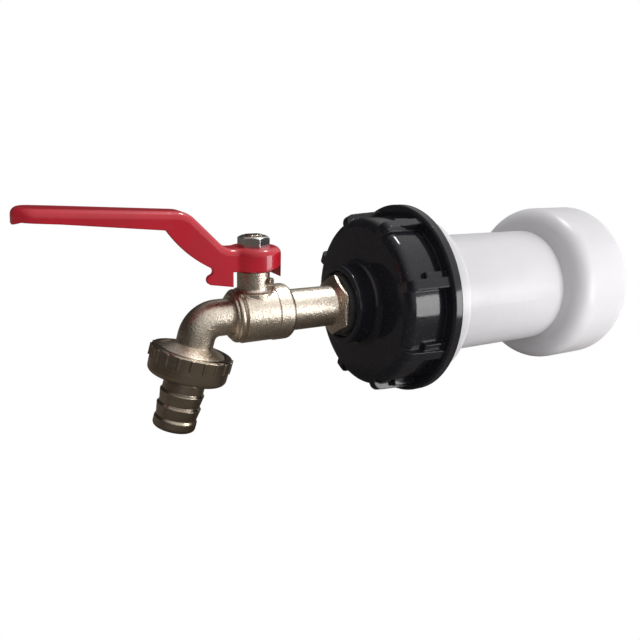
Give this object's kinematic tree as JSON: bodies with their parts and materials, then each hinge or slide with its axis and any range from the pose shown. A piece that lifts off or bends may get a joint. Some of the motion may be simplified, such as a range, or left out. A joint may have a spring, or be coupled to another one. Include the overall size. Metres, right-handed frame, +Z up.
{
  "type": "bulk tank outlet valve",
  "caption": "White plastic tank extension with a black ribbed screw cap carrying a lever-worked ball tap, a bent spout and a barbed hose tail on a union nut.",
  "frame": {"origin": "centre of the open mouth of the white cup, where the tank's neck screws in", "axes": "+Z up, +Y out of the cup's mouth towards the tank, so the liquid flows along -Y; +X is the side of the lever's stop tab"},
  "size_m": [0.084, 0.2646, 0.0893],
  "materials": {
    "white_plastic": "satin, slightly translucent",
    "black_plastic": "glossy moulded",
    "black_rubber": "matt",
    "raw_brass": "turned",
    "cast_nickel": "nickel plated, sand-cast grain",
    "smooth_nickel": "nickel plated, turned",
    "red_paint": "gloss",
    "zinc": "bright zinc",
    "white_ptfe": "matt"
  },
  "bodies": {
    "extension": {"extension_tube": "white_plastic", "tank_gasket": "black_rubber"},
    "cap_seal": {"cap_gasket": "black_rubber"},
    "tap": {"cap_nut": "black_plastic", "insert": "raw_brass", "inlet_washer": "black_rubber", "valve_body": "cast_nickel", "spout": "cast_nickel", "seat_inlet": "white_ptfe", "seat_outlet": "white_ptfe", "stem_washer": "white_ptfe", "stem_packing": "white_ptfe", "gland_nut": "smooth_nickel"},
    "handle": {"lever": "red_paint", "lever_nut": "zinc", "stem": "smooth_nickel", "ball": "smooth_nickel"},
    "union_seal": {"hose_gasket": "black_rubber"},
    "union": {"union_nut": "smooth_nickel"},
    "tail": {"hose_tail": "smooth_nickel"}
  },
  "joints": [
    {"name": "cap_travel", "type": "slide", "parent": "extension", "child": "cap_seal", "axis": [0, -1, 0], "range_m": [0, 0.015]},
    {"name": "cap_turn", "type": "hinge", "parent": "cap_seal", "child": "tap", "pos_m": [0, -0.12, 0], "axis": [0, -1, 0], "range_deg": [0, 900]},
    {"name": "lever_turn", "type": "hinge", "parent": "tap", "child": "handle", "pos_m": [0, -0.1794, 0], "axis": [0, 0, 1], "range_deg": [0, 90]},
    {"name": "union_travel", "type": "slide", "parent": "tap", "child": "union_seal", "axis": [0, -0.2748, -0.9615], "range_m": [0, 0.0045]},
    {"name": "union_turn", "type": "hinge", "parent": "union_seal", "child": "union", "pos_m": [0, -0.20488, -0.01205], "axis": [0, -0.2748, -0.9615], "range_deg": [0, 892]},
    {"name": "tail_swivel", "type": "hinge", "parent": "union_seal", "child": "tail", "pos_m": [0, -0.20488, -0.01205], "axis": [0, -0.2748, -0.9615], "continuous": true}
  ],
  "couplings": [
    {"joint": "cap_travel", "follows": "cap_turn", "m_per_rad": 0.00095493},
    {"joint": "union_travel", "follows": "union_turn", "m_per_rad": 0.00028871}
  ]
}
